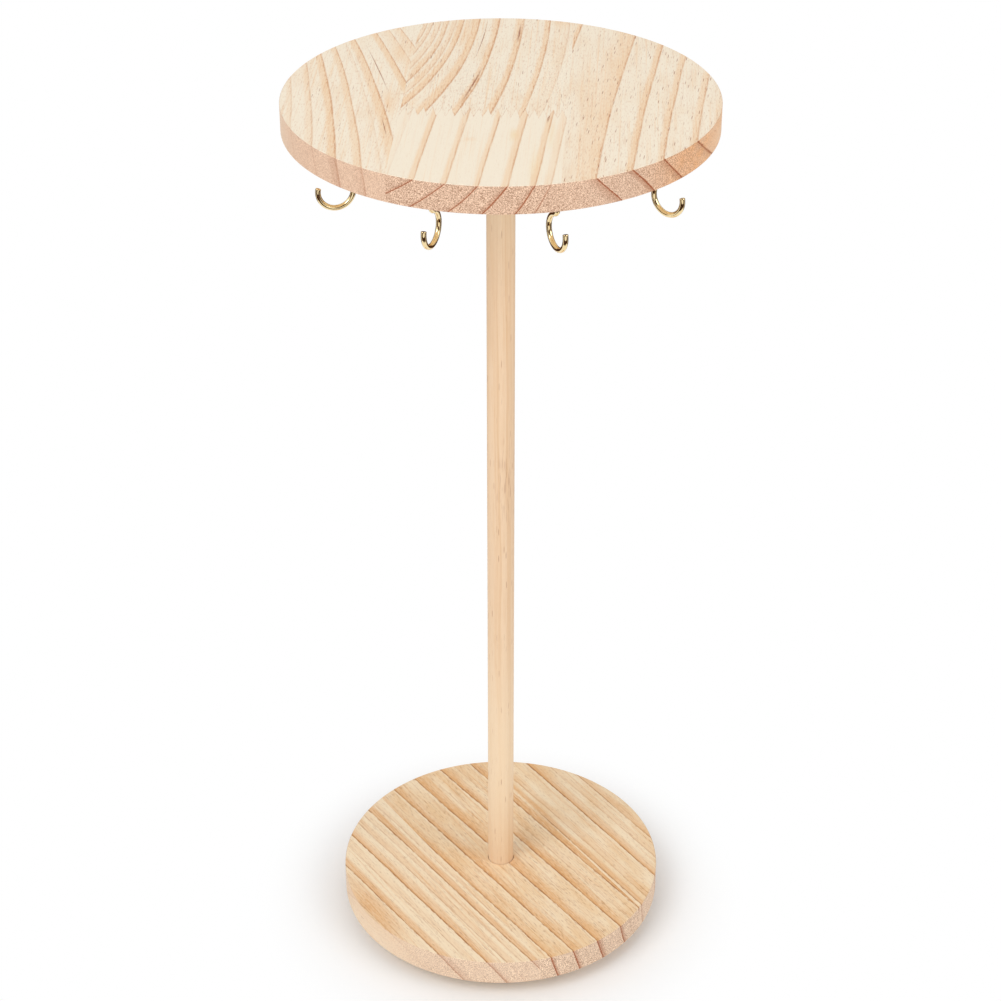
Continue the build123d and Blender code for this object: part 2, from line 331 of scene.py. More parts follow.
@dataclass
class Board:
    """How the growth rings run through one board and what marks it carries, in millimetres.

    rings: place of the sharp edge, how far the band reaches back from it, and its strength.
    sharp: 1 where the bands have their sharp edges on the right, -1 where on the left.
    slant: how far the rings move across for each millimetre down, and how that changes across the board.
    lean: where along the board the rings are at their places, how much they lean there, and their curve.
    pores: how much of the wood has resin ducts, from 0 to 1.
    grain: strength of the fibres and flecks.
    tone: how much of the early wood is of the warmer kind, from 0 to 1.
    cut: strength of the bands and specks in the cut ends.
    glow: where across the board the cut ends begin to turn orange and where they are fully so.
    fingered: whether the finger joint ends the board.
    rippled: whether the wood has ripples beside the finger joint.
    streaks: lines of resin, as place among the rings, start and end along the board, and half their width.
    blots: soft patches, as middle across and along, half width, half length, strength and colour.
    seed: moves the noise, so that no two boards have the same grain.
    """

    rings: tuple
    sharp: int = 1
    slant: tuple = (0.0, 0.0)
    lean: tuple = (0.0, 0.0, 0.0)
    pores: float = 0.0
    grain: float = 1.0
    tone: float = 0.0
    cut: float = 1.0
    glow: tuple = None
    fingered: bool = False
    rippled: bool = False
    streaks: tuple = ()
    blots: tuple = ()
    seed: float = 0.0

    def growth(self, finish, across, along):
        """Rings that lean off the board's edges, curving a little towards its ends."""
        start, slope, curve = self.lean
        from_start = along - start
        return across - from_start * slope - from_start * from_start * curve


class SpreadingBoard(Board):
    """The left board of the top, whose rings spread and curve towards the back."""

    slope, curve, spread = 0.375, 0.00047, 0.0025

    def growth(self, finish, across, along):
        """Rings that fan out, each on its own curve."""
        bow = across + along * self.slope + along * along * self.curve
        return bow / (1 - along * self.spread)


class CathedralBoard(Board):
    """The back length of the centre board, whose rings sweep in from the left and straighten to the back.

    With sweep as the square of the way from the back, a ring that is at g at the back is at
    g + sweep * (g * widen - g * g * ease - shift) further forward. Growth is that solved for g.
    """

    back, bend = 98.0, 0.0001
    shift, widen, ease = 7.354, 0.223, 0.0066

    def growth(self, finish, across, along):
        """Rings that sweep in along a curve."""
        from_back = self.back - along
        sweep = from_back * from_back * self.bend
        start = across + sweep * self.shift
        slope = 1 + sweep * self.widen
        root = finish.maths("SQRT", slope * slope - sweep * start * (4 * self.ease))
        return start * 2 / (slope + root)


BOARDS = {
    "top_board_left": SpreadingBoard(
        rings=((-104, 4, 0.35), (-95.2, 3, 0.4), (-86.4, 3.5, 0.5), (-77.6, 4, 1.0), (-68.4, 4, 0.8),
               (-61.5, 2, 0.2), (-55.2, 5, 0.95), (-40.3, 4.5, 1.0), (-31.6, 8, 0.6), (-23.8, 7.5, 0.7)),
        slant=(0.15, 0.0), pores=0.12, grain=0.9, tone=0.3, cut=0.55, seed=11.0,
        streaks=((-50.8, 2, 58, 0.28), (-57.5, -50, -28, 0.22)),
        blots=((-50, 52, 9, 20, 0.5, "late"), (-50, -14, 6, 26, 0.65, "late"),
               (-43.5, 10, 3.5, 12, 0.5, "honey")),
    ),
    "top_board_centre_back": CathedralBoard(
        rings=((-46, 3, 0.5), (-40.2, 2.5, 0.75), (-37.6, 2.2, 0.6), (-33.6, 3, 0.5), (-30, 3, 0.8),
               (-26.2, 3, 0.5), (-22.9, 3.4, 0.9), (-15.2, 4.2, 1.1), (-5.6, 3.2, 1.05), (5.9, 3.4, 1.0),
               (19, 3.2, 0.95), (28.5, 8, 0.35)),
        slant=(-0.8, 0.013), pores=0.22, grain=1.0, tone=0.35, fingered=True, rippled=True, seed=23.0,
        streaks=((-6.8, -10, 35, 0.42), (4.7, 66, 92, 0.5), (-11.6, 46, 96, 0.22)),
        blots=((-22, 80, 6, 34, 0.7, "late"), (-38, 20, 7, 32, 0.45, "late"), (-41, -8, 7, 13, 0.6, "late"),
               (25, 97, 9, 14, 0.5, "late")),
    ),
    "top_board_centre_front": Board(
        rings=((-41, 6, 0.15), (-29.5, 3.2, 0.85), (-15.4, 3, 0.8), (-1.2, 2.8, 0.8), (10.8, 3.6, 0.85),
               (22.2, 3.2, 0.8), (28.8, 4, 0.5)),
        lean=(-60.0, 0.062, 0.0), slant=(-0.8, 0.013), pores=0.02, grain=0.2, tone=0.1, cut=1.25,
        fingered=True, seed=37.0,
        streaks=((20.4, -31, -19, 0.5),),
        blots=((8.5, -45, 3.5, 10, 0.6, "honey"), (19, -80, 4, 28, 0.45, "honey"),
               (-11, -51, 5, 3.5, 0.3, "late"), (24, -42, 3, 26, 0.5, "honey")),
    ),
    "top_board_right": Board(
        rings=((24.4, 2.6, 1.0), (51.8, 14, 0.95), (66.5, 3.6, 1.0), (78.8, 3.6, 0.9), (91.8, 3.6, 0.8),
               (101, 4, 0.6)),
        lean=(0.0, 0.093, 0.0002), slant=(1.25, -0.008), pores=0.85, grain=0.9, tone=0.4,
        glow=(58.0, 92.0), seed=41.0,
        blots=((38, 0, 7, 110, 0.3, "late"),),
    ),
    "base_board_left": Board(
        rings=((-84, 4, 0.3), (-73, 5, 0.9), (-63, 4, 0.25), (-56, 6, 1.05), (-47.5, 5, 0.4),
               (-41, 3.5, 0.25), (-36.5, 4.5, 0.9), (-31, 3, 0.25)),
        sharp=-1, lean=(0.0, -0.049, 0.0), slant=(0.6, 0.0), pores=0.06, grain=0.8, tone=0.0, cut=0.7,
        seed=53.0,
        blots=((-80, 0, 12, 50, 0.7, "late"), (-66, -25, 9, 45, 0.8, "pale")),
    ),
    "base_board_centre": Board(
        rings=((-27, 6, 1.0), (-21.5, 3, 0.2), (-14.6, 7, 1.0), (0.6, 9, 1.1), (8.5, 3, 0.2),
               (17.2, 7, 1.05), (25, 4, 0.25), (34.2, 5, 1.0)),
        sharp=-1, lean=(0.0, -0.049, 0.0), slant=(0.3, 0.0), pores=0.14, grain=1.05, tone=0.55, cut=1.15,
        seed=67.0,
    ),
    "base_board_right": Board(
        rings=((38.9, 4, 0.8), (45, 4, 0.35), (59.5, 6, 1.1), (69, 4, 0.3), (77, 5, 0.6)),
        sharp=-1, lean=(0.0, -0.03, 0.0), slant=(0.1, 0.0), pores=0.08, grain=0.75, tone=0.45, cut=0.7,
        seed=71.0,
    ),
}


# A ramp takes 32 stops at most, and each ring has six
RINGS_PER_RAMP = 5

# From a ring's place, in millimetres: where its sharp edge starts and ends, then where the pale wood past it
# ends, as a rule and at the least
EDGE_STARTS, EDGE_ENDS = -0.15, 0.3
PALE_ENDS, PALE_LEAST = 1.8, 0.35

# How far a ramp reaches before its first band and past its last ring, and the gap kept between rings
RAMP_BEFORE, RAMP_PAST, RING_GAP = 1.0, 3.0, 0.05

# The share of its reach that a band takes to come up, which is more from this reach on
WIDE_BAND, WIDE_FADE, NARROW_FADE = 6, 0.8, 0.35


def ring_stops(place, reach, strength, next_start):
    """A ring's stops: red is the band of late wood, green its sharp edge and blue the pale wood past it."""
    fade = NARROW_FADE if reach < WIDE_BAND else WIDE_FADE
    clear = max(min(place + PALE_ENDS, next_start), place + PALE_LEAST)
    return [
        (place - reach, (0.0, 0.0, 0.0, 1.0)),
        (place - reach * (1 - fade), (0.68 * strength, 0.0, 0.0, 1.0)),
        (place - min(0.8, reach * 0.27), (0.78 * strength, 0.0, 0.0, 1.0)),
        (place + EDGE_STARTS, (strength, strength, 0.0, 1.0)),
        (place + EDGE_ENDS, (0.0, 0.0, strength, 1.0)),
        (clear, (0.0, 0.0, 0.0, 1.0)),
    ]


def ring_bands(finish, growth, board):
    """How much a point is late wood, the sharp edge of a band, and the pale wood just past it."""
    where = growth * board.sharp
    rings = sorted((place * board.sharp, reach, strength) for place, reach, strength in board.rings)
    ramps = []
    for start in range(0, len(rings), RINGS_PER_RAMP):
        group = rings[start:start + RINGS_PER_RAMP]
        low = group[0][0] - group[0][1] - RAMP_BEFORE
        span = group[-1][0] + RAMP_PAST - low
        next_starts = [place - reach - RING_GAP for place, reach, _ in group[1:]] + [math.inf]
        stops = []
        for ring, next_start in zip(group, next_starts):
            stops += [((position - low) / span, shade) for position, shade in ring_stops(*ring, next_start)]
        ramp = finish.node("ShaderNodeValToRGB", {0: (where - low) / span}, stops=stops)
        ramps.append(finish.split(ramp.outputs[0])[:3])
    return [finish.most(*parts) for parts in zip(*ramps)]


# Resin ducts lie in rows this far apart, one to a length at most, and each row is shifted from the last
DUCT_ROW, DUCT_LENGTH, DUCT_SHIFT = 1.25, 17.0, 5.3


def ducts(finish, across, along, amount):
    """Resin ducts: short brown dashes along the grain, most of them faint."""
    shift = finish.maths("FLOOR", across / DUCT_ROW) * DUCT_SHIFT
    point = finish.point(across / DUCT_ROW, (along + shift) / DUCT_LENGTH, 0.0)
    cells = finish.node("ShaderNodeTexVoronoi", {"Vector": point, "Scale": 1.0}, voronoi_dimensions="2D")
    chance, depth, _ = finish.split(cells.outputs["Color"])
    dash = finish.rise(Reading(finish, cells.outputs["Distance"]), 0.16, 0.08)
    dark = finish.rise(depth, 0.35, 1.3) + 0.12
    return dash * finish.rise(chance, 1.0 - amount, 1.02 - amount) * dark


# The finger joint: its fingers from left to right, the place of its middle along the boards, and half a
# finger's length
FINGERS, FINGERS_LEFT, FINGERS_RIGHT = 18, -44.0, 30.5
FINGER_MIDDLE, FINGER_REACH = -20.5, 5.0
GLUE_REACH = 0.4


def finger_line(finish, across, along):
    """The zigzag glue line where the two lengths of the centre board meet."""
    step = (FINGERS_RIGHT - FINGERS_LEFT) / FINGERS / 2
    swing = finish.maths("PINGPONG", across - FINGERS_LEFT, step)
    off = along - (FINGER_MIDDLE - FINGER_REACH) - swing * (2 * FINGER_REACH / step)
    return finish.near(off * (step / (2 * FINGER_REACH)), 0.0, GLUE_REACH)


# Noise in the wood: how fine it is across, along and down a board, then its detail and roughness
WANDER = (0.05, 0.015, 0.05, 1.0)
FIBRE = (1.4, 0.045, 1.4, 2.0, 0.65)
FLECK = (2.1, 0.34, 2.1, 1.0, 0.5)
PATCH = (0.12, 0.03, 0.12, 2.0)
WEAVE = (0.7, 0.012, 0.7, 2.0, 0.7)
CLOUD = (0.25, 0.1, 0.25, 2.0)

# Ripples beside the finger joint: their noise and its middle level, their middle and reach across, the same
# along, and their strength
RIPPLES = (
    ((0.3, 1.1, 1.0, 1.0), 0.45, (-14.0, 24.0), (14.0, 40.0), -0.3),
    ((1.3, 0.9, 1.0, 1.0), 0.5, (22.0, 14.0), (28.0, 62.0), 0.35),
)


class PineFinish(Finish):
    """Sanded pine. The rings are solid through the board, so its faces, edges and end grain agree."""

    def __init__(self, node, colours, kind):
        super().__init__("pine_" + node)
        self.board = BOARDS[node]
        parts = ("pale", "warm", "late", "line", "end")
        self.shades = {part: solid(getattr(colours, f"{kind}_{part}")) for part in parts}
        for part in ("honey", "resin", "end_late", "end_line", "end_glow"):
            self.shades[part] = solid(getattr(colours, part))

    def coat(self, under, *coats):
        """Lays colours over one another, each by its name and amount."""
        for name, amount in coats:
            under = self.tint(under, self.shades[name], amount)
        return under

    def lay_rings(self, radius, face, grain_turn):
        """Finds where a point is in the board and its rings, from its disc's radius, upper face and turn."""
        self.grit = self.grain(2.0, 2.0, 2.0, 2.0, 0.9)
        self.speck = self.rise(self.grit, 0.42, 0.62)

        # From here on, noise runs along the board
        board = self.board
        x, y, z = self.place
        cos, sin = math.cos(grain_turn), math.sin(grain_turn)
        self.across = x * cos - y * sin
        self.along = x * sin + y * cos
        depth = face / MM - z
        self.ways = [way + board.seed for way in (self.across, self.along, depth)]
        self.fibre = self.grain(*FIBRE)
        self.fleck = self.grain(*FLECK)

        tilt, turn = board.slant
        self.moved = self.across - depth * (self.across * turn + tilt)
        self.growth = board.growth(self, self.moved, self.along)
        self.wander = (self.grain(*WANDER) - 0.5) * 1.4
        fray = (self.fleck - 0.5) * (0.4 + board.grain * 0.6)
        self.late, self.line, self.early = ring_bands(self, self.growth + self.wander + fray, board)
        self.ducts = ducts(self, self.moved - self.along * board.lean[1], self.ways[1], board.pores)
        self.rim = self.rise(self.from_axis(), radius - 0.3, radius - 0.05)
        self.end = self.rise(self.maths("ABSOLUTE", self.along), radius * 0.08, radius * 0.6)

    def face_colour(self):
        """Early wood, patches, then the bands with their edges, then fibres and flecks."""
        board, fibre, fleck = self.board, self.fibre, self.fleck
        warm = self.rise(self.grain(*PATCH), 0.8 - board.tone, 1.0 - board.tone * 0.6)
        stripes = self.rise(self.grain(*WEAVE), 0.5, 0.75) * (0.2 + 0.3 * board.grain)
        wood = self.coat(self.shades["pale"], ("warm", warm * 0.8), ("late", stripes))
        for middle, halfway, half_width, half_length, strength, name in board.blots:
            blot = self.near(self.moved, middle, half_width) * self.near(self.along, halfway, half_length)
            wood = self.coat(wood, (name, blot * (fibre + 0.4) * strength))
        return self.coat(
            wood,
            ("pale", self.early * 0.85),
            ("late", self.late * (0.4 + fibre)),
            ("line", self.line * self.rise(fibre, 0.2, 0.6) * 0.95),
            ("line", self.rise(fibre, 0.5, 0.85) * (0.3 * board.grain + 0.02)),
            ("line", self.rise(fleck, 0.52, 0.85) * 0.5 * board.grain),
            ("pale", self.rise(fleck, 0.48, 0.2) * 0.5 * board.grain),
        )

    def mark(self, wood):
        """Lays ripples, the glue line of the finger joint, streaks of resin and ducts over the wood."""
        board = self.board
        if board.rippled:
            for noise, level, across, along, strength in RIPPLES:
                spot = self.near(self.across, *across) * self.near(self.along, *along)
                wood = self.shade(wood, 1 + (self.grain(*noise) - level) * spot * strength)
        if board.fingered:
            glue = finger_line(self, self.across, self.along) * self.rise(self.fleck, 0.35, 0.7)
            wood = self.coat(wood, ("line", glue * 0.45))
        for place, start, end, half in board.streaks:
            off = self.growth + self.wander * 0.3 - place
            stretch = self.near(self.along, (start + end) / 2, (end - start) * 0.6)
            streak = self.near(off, 0.0, half * 1.5) * stretch
            wood = self.coat(wood, ("resin", streak * self.rise(self.fleck, 0.1, 0.5) * 0.95))
        return self.coat(wood, ("resin", self.ducts))

    def cut(self, wood):
        """Shows the cut wood on the rim: end grain at the boards' ends, and less of it along their sides."""
        board = self.board
        cut = self.shades["end"]
        if board.glow:
            glow = self.rise(self.across, *board.glow) * (self.grain(*CLOUD) + 0.2)
            cut = self.coat(cut, ("end_glow", glow))
        bands = self.rise(self.late, 0.35, 1.0) * (0.35 + self.fibre * 0.4) * board.cut
        specks = self.speck * (0.15 + self.end * 0.4 * board.cut)
        cut = self.coat(cut, ("end_late", bands), ("end_late", specks))
        rough_cut = (0.46 - self.grit) * self.end * 1.7 * board.cut
        cut = self.shade(cut, 1.05 - (self.fleck - 0.45) * 0.2 + rough_cut)
        edge = self.most(self.rise(self.line, 0.05, 0.7) * 0.9, self.rise(self.late, 0.5, 0.9) * 0.2)
        cut = self.coat(cut, ("end_line", edge * min(1.0, board.cut**2)))
        cut = self.tint(wood, cut, 0.55 + self.end * 0.45)
        return self.tint(wood, cut, self.rim)

    def finished(self):
        """The material, with its colour, its gloss and its small relief."""
        wood = self.cut(self.mark(self.face_colour()))
        rough = 0.6 - self.late * 0.1 + self.fleck * 0.08 + self.rim * 0.08
        relief = self.fleck * 0.5 + self.fibre * 0.3 - self.ducts * 0.8 - self.line * 0.3
        relief += self.speck * self.rim * 0.8
        return self.surface(base_color=wood, roughness=rough, normal=self.bump(relief, 0.35, 0.12))


# In millimetres, to lay the ducts out round the pole
POLE_RADIUS = 6.8


def dowel(colours):
    """Turned pine dowel with upright grain, paler low down and near its top with painted light where the
    base and the top shade it, its foot darker on one side with painted shade.
    """
    finish = Finish("pine_pole")
    x, y, z = finish.place
    pale, late, painted_light_cream = solid(colours.pole_pale), solid(colours.pole_late), solid(colours.base_pale)
    resin = solid(colours.resin)

    # Faint bands cross the pole at a slant, under upright fibres
    growth = x * 0.8 + y * 0.6 + z * 0.006
    wander = finish.grain(0.2, 0.2, 0.012, 2.0)
    band = finish.noise((growth + wander * 3.0) * 0.55, 3.0, z * 0.002, 2.0, 0.6)
    fibre = finish.grain(2.2, 2.2, 0.05, 3.0, 0.65)
    fleck = finish.grain(4.5, 4.5, 0.4, 2.0, 0.7)
    wood = finish.tint(pale, late, finish.rise(band, 0.45, 0.7) * 0.5)
    wood = finish.tint(wood, late, finish.rise(fibre, 0.45, 0.75) * 0.45)

    # Painted light: paler low down and near the top, lifting the shade that the base and the top cast on the
    # pole
    painted_light_low = finish.near(z, 88.0, 110.0)
    painted_light_under_top = finish.rise(z, 370.0, 440.0)
    # Painted shade: the foot darker on its right, the side away from the light
    foot = finish.rise(x, 1.0, 6.0) * finish.rise(z, 90.0, 20.0)
    wood = finish.tint(wood, painted_light_cream, painted_light_low * 0.6)
    wood = finish.tint(wood, painted_light_cream, painted_light_under_top * 0.4)
    wood = finish.tint(wood, late, foot * 0.4)
    wood = finish.shade(wood, 0.95 + fleck * 0.1)

    # Brown figure half way up, on the right, and ducts all round
    figure = finish.rise(finish.grain(1.5, 1.5, 0.11, 1.0), 0.48, 0.66)
    halfway = finish.near(z, 265.0, 34.0) * finish.rise(x, -5.0, 2.0)
    wood = finish.tint(wood, resin, figure * halfway * 0.3)
    dashes = ducts(finish, finish.maths("ARCTAN2", y, x) * POLE_RADIUS, z, 0.38)
    wood = finish.tint(wood, resin, dashes * 0.75)
    relief = fleck * 0.5 + fibre * 0.4 - dashes * 0.5
    rough = 0.56 + fleck * 0.1
    return finish.surface(base_color=wood, roughness=rough, normal=finish.bump(relief, 0.3, 0.1))


def polished(name, rgb, low, high):
    """Polished metal with a faint cloud of handling marks, its roughness from low to high."""
    finish = Finish(name)
    film = finish.grain(0.25, 0.25, 0.25, 3.0, 0.6)
    scuff = finish.grain(3.0, 3.0, 1.2, 2.0, 0.7)
    metal = finish.shade(solid(rgb), 0.94 + film * 0.1)
    return finish.surface(base_color=metal, metallic=1.0, roughness=low + film * (high - low) + scuff * 0.03)


def plated(name, rgb, film_rgb):
    """Zinc plating: grey metal with a mottled, slightly iridescent film."""
    finish = Finish(name)
    film = finish.grain(0.5, 0.5, 0.5, 3.0, 0.6)
    grain = finish.grain(6.0, 6.0, 6.0, 2.0, 0.7)
    metal = finish.tint(solid(rgb), solid(film_rgb), finish.rise(film, 0.45, 0.75) * 0.3)
    metal = finish.shade(metal, 0.92 + grain * 0.14)
    return finish.surface(
        base_color=metal, metallic=1.0, roughness=0.3 + film * 0.12, normal=finish.bump(grain, 0.2, 0.02)
    )


def turned_metal(name, rgb):
    """Satin aluminium with fine marks round the axis from the lathe."""
    finish = Finish(name)
    marks = finish.noise(finish.from_axis() * 5.0, finish.place[2] * 5.0, 0.0, 2.0, 0.7)
    cloud = finish.grain(0.12, 0.12, 0.12, 2.0)
    metal = finish.shade(solid(rgb), 0.9 + marks * 0.12 + cloud * 0.06)
    return finish.surface(
        base_color=metal, metallic=1.0, roughness=0.3 + marks * 0.14, normal=finish.bump(marks, 0.3, 0.03)
    )


def moulded(name, rgb, low, high, fine):
    """Moulded plastic or rubber with a fine grain and a little dust, its roughness from low to high."""
    finish = Finish(name)
    grain = finish.grain(fine, fine, fine, 2.0, 0.6)
    dust = finish.grain(0.3, 0.3, 0.3, 3.0, 0.6)
    dusty = [min(1.0, 0.06 + part * 1.1) for part in rgb]
    body = finish.tint(solid(rgb), solid(dusty), finish.rise(dust, 0.45, 0.8) * 0.4)
    body = finish.shade(body, 0.94 + grain * 0.12)
    return finish.surface(
        base_color=body, roughness=low + (high - low) * grain, normal=finish.bump(grain, 0.3, 0.04)
    )


# Points closer than this are one point
JOIN = 0.001 * MM


def merged_copy(node):
    """The shape of a CAD node, its loose triangles joined into faces again."""
    bm = bmesh.new()
    bm.from_mesh(frame["nodes"][node].data)
    bmesh.ops.remove_doubles(bm, verts=bm.verts, dist=JOIN)
    bmesh.ops.dissolve_limit(bm, angle_limit=math.radians(0.5), verts=bm.verts, edges=bm.edges)
    return bm


def added(name, data):
    """A new object in the scene, from its mesh, lamp or camera."""
    made = bpy.data.objects.new(name, data)
    bpy.context.scene.collection.objects.link(made)
    return made


def placed(bm, name, material):
    """A new object in the scene from a finished bmesh."""
    mesh = bpy.data.meshes.new(name)
    bm.to_mesh(mesh)
    bm.free()
    mesh.materials.append(material)
    return added(name, mesh)


def piece(bm, name, material, body, node, crease=40.0):
    """Makes the piece that stands for a CAD node, smooth but for edges past the crease in degrees."""
    for edge in bm.edges:
        edge.smooth = edge.calc_face_angle(math.pi) < math.radians(crease)
    for face in bm.faces:
        face.smooth = True
    made = placed(bm, name, material)
    normals = made.modifiers.new("even_shading", "WEIGHTED_NORMAL")
    normals.keep_sharp = True
    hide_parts(node)
    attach(made, body)
    return made


def soften(made, width):
    """Breaks the sharp edges of a finished piece, before its shading is evened."""
    bevel = made.modifiers.new("broken_edges", "BEVEL")
    bevel.width = width
    bevel.segments = 2
    bevel.limit_method = "ANGLE"
    bevel.angle_limit = math.radians(40.0)
    made.modifiers.move(1, 0)


def dress(node, material):
    """Gives a CAD node's own slot a better material."""
    mesh = frame["nodes"][node].data
    mesh.materials.clear()
    mesh.materials.append(material)


def lathe(bm, profile, sides):
    """Turns a profile of radius and height about Z."""
    points = [bm.verts.new((radius, 0.0, height)) for radius, height in profile]
    edges = [bm.edges.new(pair) for pair in zip(points, points[1:])]
    bmesh.ops.spin(
        bm, geom=points + edges, cent=(0, 0, 0), axis=(0, 0, 1), angle=math.tau, steps=sides, use_merge=True
    )


def close_up(bm):
    """Joins doubles and turns every face outwards."""
    bmesh.ops.remove_doubles(bm, verts=bm.verts, dist=JOIN)
    bmesh.ops.recalc_face_normals(bm, faces=bm.faces)


def only(kind, geometry):
    """The points or the edges among what an operator made."""
    return [item for item in geometry if isinstance(item, kind)]


WIRE_SIDES, NECK_STEPS, ROUND_STEPS = 24, 16, 64
COLLAR_SIDES, SCREW_SIDES = 32, 16
TIP_ROUNDING, COLLAR_ROUNDING = 0.18 * MM, 0.2 * MM

# The share of the hook's screw that is straight, up to its point
STRAIGHT_SHARE = 0.72


def hook_shape(sizes):
    """A cup hook with its collar's seat at the origin, opening towards +X."""
    bm = bmesh.new()
    bend, neck = sizes.bend_radius, sizes.neck_radius
    reach = bend + neck
    neck_drop = sizes.centre_drop - math.sqrt(reach**2 - neck**2)
    swing = math.acos(neck / reach)

    # The wire: straight down from the collar, inwards round the neck, then out and up round the bend
    bmesh.ops.create_circle(bm, cap_ends=True, segments=WIRE_SIDES, radius=sizes.wire_diameter / 2)
    down = bmesh.ops.extrude_edge_only(bm, edges=bm.edges[:])["geom"]
    bmesh.ops.translate(bm, verts=only(BMVert, down), vec=(0, 0, -neck_drop))
    last = [edge for edge in only(BMEdge, down) if all(vert.co.z < -neck_drop / 2 for vert in edge.verts)]
    for centre, axis, angle, steps in (
        ((-neck, 0, -neck_drop), (0, 1, 0), swing, NECK_STEPS),
        ((0, 0, -sizes.centre_drop), (0, -1, 0), math.pi + swing + sizes.tip_angle, ROUND_STEPS),
    ):
        made = bmesh.ops.spin(bm, geom=last, cent=centre, axis=axis, angle=angle, steps=steps)
        last = only(BMEdge, made["geom_last"])
    tip = bmesh.ops.contextual_create(bm, geom=last)["faces"]
    bmesh.ops.bevel(
        bm, geom=tip[0].edges[:], offset=TIP_ROUNDING, segments=2, profile=0.5, affect="EDGES", material=-1
    )

    # The collar and the screw above it
    collar, thick, soft = sizes.collar_diameter / 2, sizes.collar_thickness, COLLAR_ROUNDING
    profile = ((0, 0), (collar, 0), (collar, -thick + soft), (collar - soft, -thick), (0, -thick))
    lathe(bm, profile, COLLAR_SIDES)
    screw, long = sizes.screw_diameter / 2, sizes.screw_length
    lathe(bm, ((0, 0), (screw, 0), (screw, long * STRAIGHT_SHARE), (0, long)), SCREW_SIDES)
    close_up(bm)
    return bm


def way_hook_faces(node, foot):
    """Angle from +X to the side that a hook opens to. High on the round, all wire is on the other side."""
    sizes = bpy.context.scene.tower_hooks
    centre = foot.z - sizes.centre_drop
    low, high = centre + sizes.bend_radius * 0.6, centre + sizes.bend_radius * 0.9
    wire = [vert.co for vert in frame["nodes"][node].data.vertices if low < vert.co.z < high]
    middle = sum(wire, Vector()) / len(wire)
    return math.atan2(foot.y - middle.y, foot.x - middle.x)


HEAD_SIDES = 24

# The grid that the cross is cut from reaches this share of the head's radius, and the cross narrows upwards
CROSS_REACH, CROSS_TAPER, CROSS_DEPTH = 0.6, 0.75, 0.45


def cross_head(bm, radius, arm):
    """The flat underside of a screw's head at z = 0, with a cross recess sunk upwards into it."""
    bmesh.ops.create_circle(bm, segments=HEAD_SIDES, radius=radius)
    rim = bm.edges[:]

    # A grid of nine cells has its inner lines moved to the sides of the arms, and loses its corners
    reach = radius * CROSS_REACH
    grid = bmesh.ops.create_grid(bm, x_segments=3, y_segments=3, size=reach)["verts"]
    for vert in grid:
        for axis in (0, 1):
            if abs(vert.co[axis]) < reach * 0.9:
                vert.co[axis] = math.copysign(arm / 2, vert.co[axis])
    corners = [face for face in bm.faces if all(abs(c) > arm / 2 for c in face.calc_center_median()[:2])]
    bmesh.ops.delete(bm, geom=corners, context="FACES")
    mouth = [edge for edge in bm.edges if len(edge.link_faces) == 1]
    floor = only(BMVert, bmesh.ops.extrude_face_region(bm, geom=bm.faces[:])["geom"])
    bmesh.ops.translate(bm, verts=floor, vec=(0, 0, radius * CROSS_DEPTH))
    bmesh.ops.scale(bm, verts=floor, vec=(CROSS_TAPER, CROSS_TAPER, 1.0))
    flat = [face for face in bm.faces if all(abs(vert.co.z) < JOIN for vert in face.verts)]
    bmesh.ops.delete(bm, geom=flat, context="FACES_ONLY")
    bmesh.ops.triangle_fill(bm, edges=[*rim, *mouth], use_beauty=True, normal=(0, 0, -1))


def screw_shape(seat, shank, head, long, point, arm):
    """A countersunk wood screw that goes up from its seat."""
    bm = bmesh.new()
    cross_head(bm, head, arm)
    cone = head - shank
    lathe(bm, ((head, 0), (shank, cone), (shank, long - point), (0, long)), HEAD_SIDES)
    close_up(bm)
    bmesh.ops.translate(bm, verts=bm.verts, vec=seat)
    return bm


class TOWER_OT_boards(bpy.types.Operator):
    """Makes the boards of the top and the base, with their rings, glue lines and end grain"""

    bl_idname = "tower.boards"
    bl_label = "Boards"

    def execute(self, context):
        for boards, kind, *disc in (
            (TOP_BOARDS, "top", TOP_RADIUS, TOP_HIGH.z, TOP_GRAIN_TURN),
            (BASE_BOARDS, "base", BASE_RADIUS, BASE_HIGH.z, BASE_GRAIN_TURN),
        ):
            for node in boards:
                wood = PineFinish(node, context.scene.tower_pine, kind)
                wood.lay_rings(*disc)
                piece(merged_copy(node), "sanded_" + node, wood.finished(), TOWER, node, crease=50.0)
        return {"FINISHED"}


class TOWER_OT_pole(bpy.types.Operator):
    """Makes the pole, a dowel with upright grain"""

    bl_idname = "tower.pole"
    bl_label = "Pole"

    def execute(self, context):
        wood = dowel(context.scene.tower_pine)
        piece(merged_copy("pole"), "sanded_pole", wood, TOWER, "pole")
        return {"FINISHED"}


class TOWER_OT_hooks(bpy.types.Operator):
    """Makes the brass cup hooks of round wire"""

    bl_idname = "tower.hooks"
    bl_label = "Cup hooks"

    def execute(self, context):
        sizes = context.scene.tower_hooks
        brass = polished("polished_brass", sizes.brass, 0.04, 0.1)
        for mount in frame["record"]["mounts"]:
            if not mount["name"].endswith("_seat"):
                continue
            node = mount["name"].removesuffix("_seat")
            foot = Vector((mount["pos_m"][0], mount["pos_m"][1], TOP_LOW.z))
            bm = hook_shape(sizes)
            turn = Matrix.Rotation(way_hook_faces(node, foot), 4, "Z")
            bmesh.ops.transform(bm, matrix=Matrix.Translation(foot) @ turn, verts=bm.verts)
            piece(bm, "wire_" + node, brass, TOWER, node)
        return {"FINISHED"}


